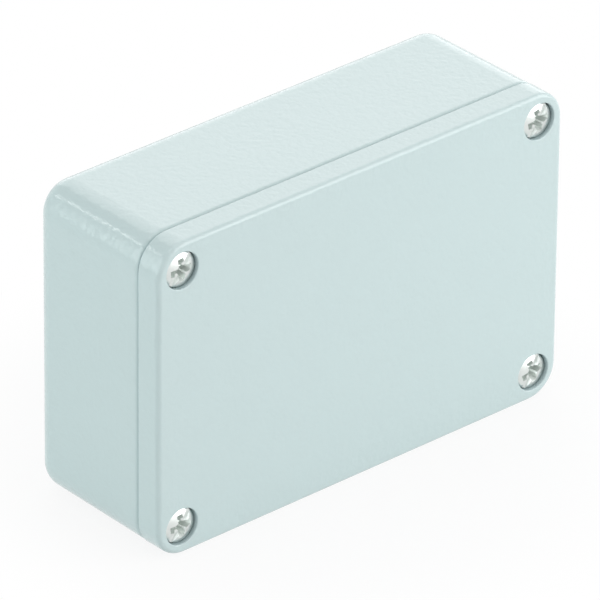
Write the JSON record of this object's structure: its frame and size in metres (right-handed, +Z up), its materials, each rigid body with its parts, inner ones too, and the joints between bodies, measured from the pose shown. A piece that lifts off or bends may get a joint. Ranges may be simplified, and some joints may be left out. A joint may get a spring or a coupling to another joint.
{
  "type": "die cast aluminium enclosure",
  "caption": "Painted die cast box with a flat sealed lid held by captive screws in its corners, an earth terminal inside and wall fixing holes under the lid.",
  "frame": {"origin": "on the surface that the box stands on, under the middle of its outline", "axes": "+X along the length, to the right seen from the front; +Y out of the wall face, away from the lid; +Z up, across the width, with the box standing on one long side as in the picture"},
  "size_m": [0.098, 0.035, 0.065],
  "materials": {
    "painted_casting": "satin, pale cool grey powder coat with a fine orange peel, on cast aluminium",
    "seal_rubber": "matte",
    "stainless_steel": "satin, bright stainless steel",
    "ring_nylon": "matte",
    "terminal_brass": "satin"
  },
  "bodies": {
    "base": {"base": "painted_casting", "earth_screw": "terminal_brass", "earth_spring_washer": "stainless_steel", "earth_clamp": "terminal_brass"},
    "lid": {"lid": "painted_casting", "gasket": "seal_rubber"},
    "ring_top_left": {"ring_top_left": "ring_nylon"},
    "screw_top_left": {"screw_top_left": "stainless_steel"},
    "ring_top_right": {"ring_top_right": "ring_nylon"},
    "screw_top_right": {"screw_top_right": "stainless_steel"},
    "ring_bottom_left": {"ring_bottom_left": "ring_nylon"},
    "screw_bottom_left": {"screw_bottom_left": "stainless_steel"},
    "ring_bottom_right": {"ring_bottom_right": "ring_nylon"},
    "screw_bottom_right": {"screw_bottom_right": "stainless_steel"}
  },
  "joints": [
    {"name": "lid_lift", "type": "slide", "parent": "base", "child": "lid", "axis": [0, -1, 0], "range_m": [0, 0.045]},
    {"name": "turn_top_left", "type": "hinge", "parent": "lid", "child": "ring_top_left", "pos_m": [-0.0432, -0.0125, 0.0592], "axis": [0, -1, 0], "range_deg": [0, 2572]},
    {"name": "travel_top_left", "type": "slide", "parent": "ring_top_left", "child": "screw_top_left", "axis": [0, -1, 0], "range_m": [0, 0.005]},
    {"name": "turn_top_right", "type": "hinge", "parent": "lid", "child": "ring_top_right", "pos_m": [0.0432, -0.0125, 0.0592], "axis": [0, -1, 0], "range_deg": [0, 2572]},
    {"name": "travel_top_right", "type": "slide", "parent": "ring_top_right", "child": "screw_top_right", "axis": [0, -1, 0], "range_m": [0, 0.005]},
    {"name": "turn_bottom_left", "type": "hinge", "parent": "lid", "child": "ring_bottom_left", "pos_m": [-0.0432, -0.0125, 0.0058], "axis": [0, -1, 0], "range_deg": [0, 2572]},
    {"name": "travel_bottom_left", "type": "slide", "parent": "ring_bottom_left", "child": "screw_bottom_left", "axis": [0, -1, 0], "range_m": [0, 0.005]},
    {"name": "turn_bottom_right", "type": "hinge", "parent": "lid", "child": "ring_bottom_right", "pos_m": [0.0432, -0.0125, 0.0058], "axis": [0, -1, 0], "range_deg": [0, 2572]},
    {"name": "travel_bottom_right", "type": "slide", "parent": "ring_bottom_right", "child": "screw_bottom_right", "axis": [0, -1, 0], "range_m": [0, 0.005]}
  ],
  "couplings": [
    {"joint": "turn_top_left", "follows": "travel_top_left", "rad_per_m": 8976},
    {"joint": "turn_top_right", "follows": "travel_top_right", "rad_per_m": 8976},
    {"joint": "turn_bottom_left", "follows": "travel_bottom_left", "rad_per_m": 8976},
    {"joint": "turn_bottom_right", "follows": "travel_bottom_right", "rad_per_m": 8976}
  ]
}
